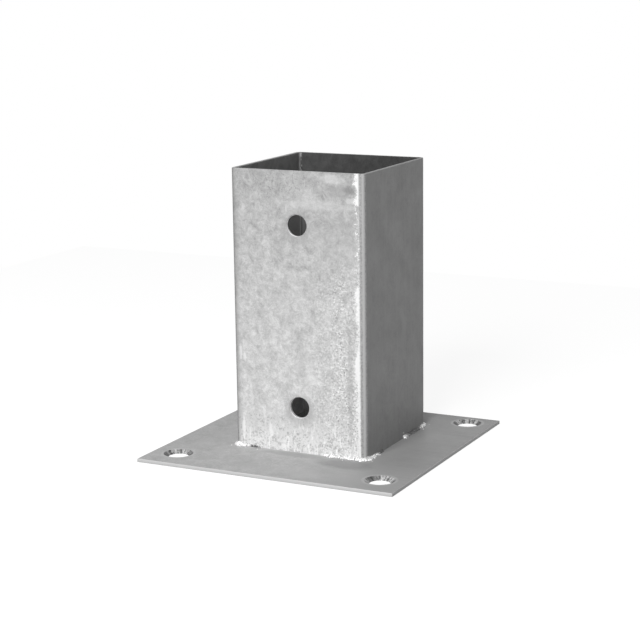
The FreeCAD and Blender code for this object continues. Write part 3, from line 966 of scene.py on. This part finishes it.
def make_stitch(name, tree, settings, points, girths):
    """Run the stitch tree along a seam and keep its result as a plain mesh."""
    line = bpy.data.meshes.new(f"{name}_seam")
    line.from_pydata(points, [(i, i + 1) for i in range(len(points) - 1)], [])
    line.attributes.new("girth", "FLOAT", "POINT").data.foreach_set("value", girths)
    seam = bpy.data.objects.new(f"{name}_seam", line)
    bpy.context.collection.objects.link(seam)
    modifier = seam.modifiers.new("stitch", "NODES")
    modifier.node_group = tree
    sockets = {item.name: item.identifier for item in tree.interface.items_tree
               if item.in_out == "INPUT"}
    for label, value in settings.items():
        modifier[sockets[label]] = value
    solid = bpy.data.meshes.new_from_object(
        seam.evaluated_get(bpy.context.evaluated_depsgraph_get()))
    solid.name = name
    bpy.data.objects.remove(seam)
    bead = bpy.data.objects.new(name, solid)
    bpy.context.collection.objects.link(bead)
    return bead


def make_stitches(finish):
    """The four beads, each in the place of its CAD node."""
    tree = make_stitch_tree()
    for seed, (name, stitch) in enumerate(STITCHES.items(), start=1):
        settings = {"Seed": seed, "Finish": finish, "End Drop": stitch.drop,
                    "Spatter Count": stitch.spatter}
        points, girths = zip(*seam_points(stitch))
        bead = make_stitch(name, tree, settings, points, girths)
        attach(bead, "root")
        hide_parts(stitch.node)


# ---------------------------------------------------------------- floor and room


def seen_directly(tree):
    """1 for a ray that looks at the room, straight or in a reflection, and 0 for its light."""
    path = tree.nodes.new("ShaderNodeLightPath").outputs
    seen = add_math(tree, "MAXIMUM", path["Is Camera Ray"], path["Is Glossy Ray"])
    return add_math(tree, "MAXIMUM", seen, path["Is Transmission Ray"])


def make_room():
    """A dim even room that looks white."""
    world = bpy.data.worlds.new("room")
    bpy.context.scene.world = world
    world.use_nodes = True
    tree = world.node_tree
    tree.nodes.clear()
    glow = add_range(tree, seen_directly(tree), 0.0, 1.0, ROOM_GLOW, 1.0)
    backdrop = add_node(tree, "ShaderNodeBackground", {"Color": grey(1.0), "Strength": glow})
    output = tree.nodes.new("ShaderNodeOutputWorld")
    tree.links.new(backdrop.outputs[0], output.inputs["Surface"])


def make_floor():
    """A plain pale floor that keeps a faint shadow."""
    half = FLOOR_SIDE / 2
    level = PLATE_LOW.z * MM - FLOOR_GAP
    mesh = bpy.data.meshes.new("floor")
    mesh.from_pydata([(-half, -half, level), (half, -half, level),
                      (half, half, level), (-half, half, level)], [], [(0, 1, 2, 3)])
    floor = bpy.data.objects.new("floor", mesh)
    bpy.context.collection.objects.link(floor)
    material = bpy.data.materials.new("floor_paper")
    material.use_nodes = True
    tree = material.node_tree
    tree.nodes.clear()
    paper = add_node(tree, "ShaderNodeBsdfDiffuse", {"Color": grey(FLOOR_GREY)})
    glow = add_node(tree, "ShaderNodeEmission", {"Color": grey(1.0), "Strength": FLOOR_GLOW})
    shade = add_node(tree, "ShaderNodeBsdfDiffuse", {"Color": grey(FLOOR_SHADE)})
    white = add_node(tree, "ShaderNodeAddShader", {0: glow.outputs[0], 1: shade.outputs[0]})
    mix = add_node(tree, "ShaderNodeMixShader",
                   {0: seen_directly(tree), 1: paper.outputs[0], 2: white.outputs[0]})
    output = tree.nodes.new("ShaderNodeOutputMaterial")
    tree.links.new(mix.outputs[0], output.inputs["Surface"])
    mesh.materials.append(material)


# ---------------------------------------------------------------- the scene

make_camera()
make_key_light()
make_room()
make_floor()

finishes = {"base_plate": make_plate_finish(), "post_sleeve": make_sleeve_finish()}
weld_finish = make_weld_finish()
for name, node in frame["nodes"].items():
    node.data.materials.clear()
    node.data.materials.append(finishes.get(name, weld_finish))
make_stitches(weld_finish)

bpy.context.scene.view_settings.view_transform = "Standard"
